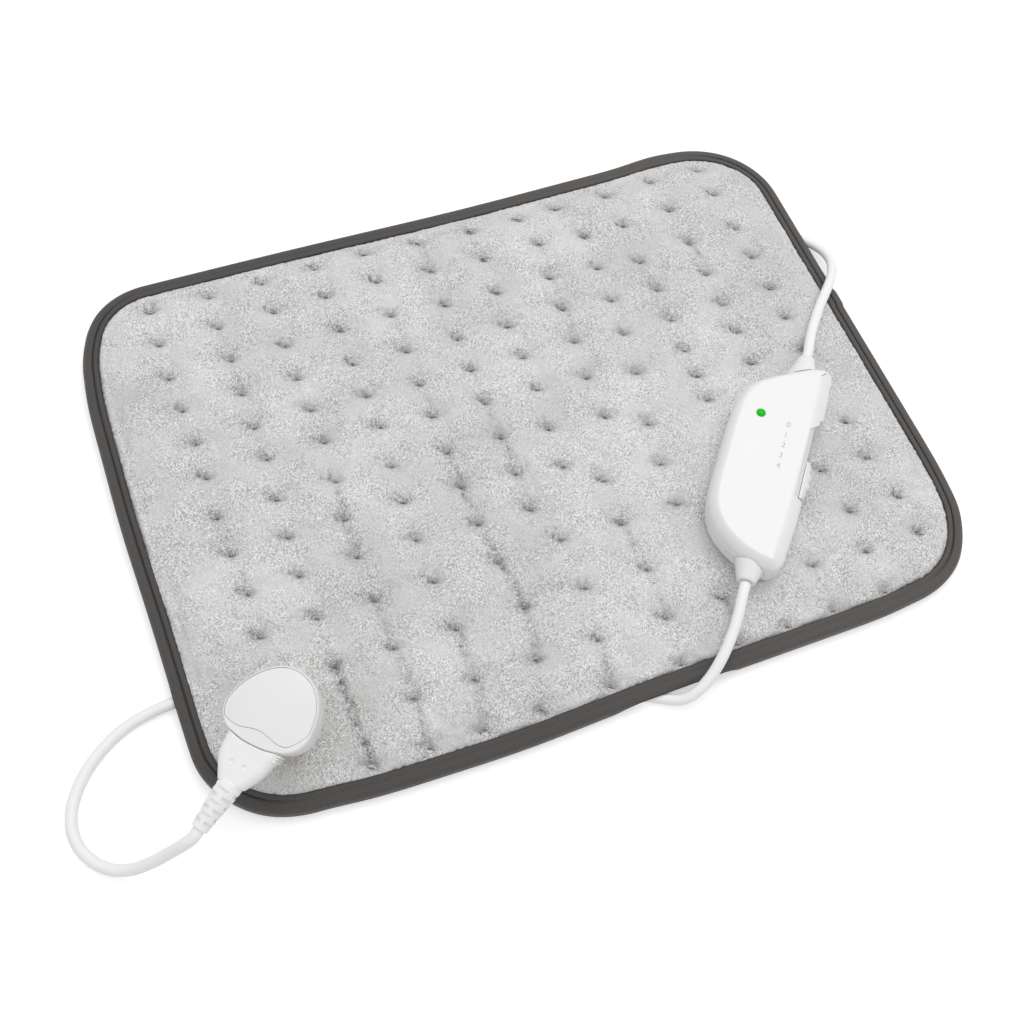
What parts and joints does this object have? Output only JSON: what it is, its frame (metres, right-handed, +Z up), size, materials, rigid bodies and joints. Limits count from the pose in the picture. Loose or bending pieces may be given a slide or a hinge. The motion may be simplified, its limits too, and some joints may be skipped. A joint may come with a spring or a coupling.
{
  "type": "heating pad with controller",
  "caption": "Soft rectangular heating pad with tufted fleece, taped edge, slide controller with an indicator lamp, and a mains lead that ends in a fused plug.",
  "frame": {"origin": "middle of the pad's underside, on the surface that the pad lies on", "axes": "+X along the pad's long side, towards the side where the pad lead goes in; +Y along its short side, away from the side where the mains lead comes out; +Z up, out of the fleece"},
  "size_m": [0.4681, 0.3078, 0.056],
  "materials": {
    "fleece": "soft brushed pile",
    "backing": "plain brushed cloth",
    "binding": "matt ribbed tape",
    "carrier": "thin felt",
    "heating_wire": "satin sleeve",
    "protector": "satin",
    "white_case": "gloss",
    "white_cord": "satin flexible sheath",
    "knob": "satin",
    "lens": "clear gloss",
    "board": "satin laminate",
    "black_plastic": "satin",
    "blue_film": "gloss",
    "ceramic": "matt ceramic",
    "green_terminal": "satin",
    "aluminium": "milled",
    "steel": "bright",
    "brass": "bright",
    "brown_wire": "satin",
    "blue_wire": "satin"
  },
  "bodies": {
    "pad_and_controls": {"pad_top_cover": "fleece", "pad_bottom_cover": "backing", "pad_edge_binding": "binding", "pad_heater_carrier": "carrier", "pad_heating_wire": "heating_wire", "pad_overheat_cutout_left": "protector", "pad_overheat_cutout_right": "protector", "pad_lead_gland": "white_cord", "pad_junction_block": "protector", "mains_lead": "white_cord", "pad_lead": "white_cord", "controller_bottom_shell": "white_case", "controller_top_shell": "white_case", "slide_switch": "black_plastic", "control_board": "board", "indicator_lens": "lens", "indicator_led": "lens", "heat_sink": "aluminium", "triac": "black_plastic", "filter_capacitor": "blue_film", "board_fuse": "ceramic", "sense_resistor": "ceramic", "shell_screw_1": "steel", "shell_screw_2": "steel", "shell_screw_3": "steel", "controller_mains_bush": "white_cord", "mains_terminal": "green_terminal", "mains_brown_wire": "brown_wire", "mains_blue_wire": "blue_wire", "controller_lead_bush": "white_cord", "lead_terminal": "green_terminal", "lead_brown_wire": "brown_wire", "lead_blue_wire": "blue_wire", "plug_base": "white_case", "plug_lid": "white_case", "plug_live_pin": "brass", "plug_neutral_pin": "brass", "plug_earth_pin": "brass", "cable_plug": "white_cord", "cable_plug_left_pin": "steel", "left_contact_clip": "brass", "lid_screw_left": "steel", "cable_plug_right_pin": "steel", "right_contact_clip": "brass", "lid_screw_right": "steel", "plug_strain_relief": "white_cord"},
    "slider": {"slide_knob": "knob"},
    "fuse_drawer": {"fuse_carrier": "knob", "plug_fuse": "ceramic"}
  },
  "joints": [
    {"name": "slider_travel", "type": "slide", "parent": "pad_and_controls", "child": "slider", "axis": [0.6293, 0.7771, 0], "range_m": [0, 0.0248]},
    {"name": "fuse_drawer_travel", "type": "slide", "parent": "pad_and_controls", "child": "fuse_drawer", "axis": [0.1756, 0.1638, -0.9707], "range_m": [0, 0.01]}
  ]
}
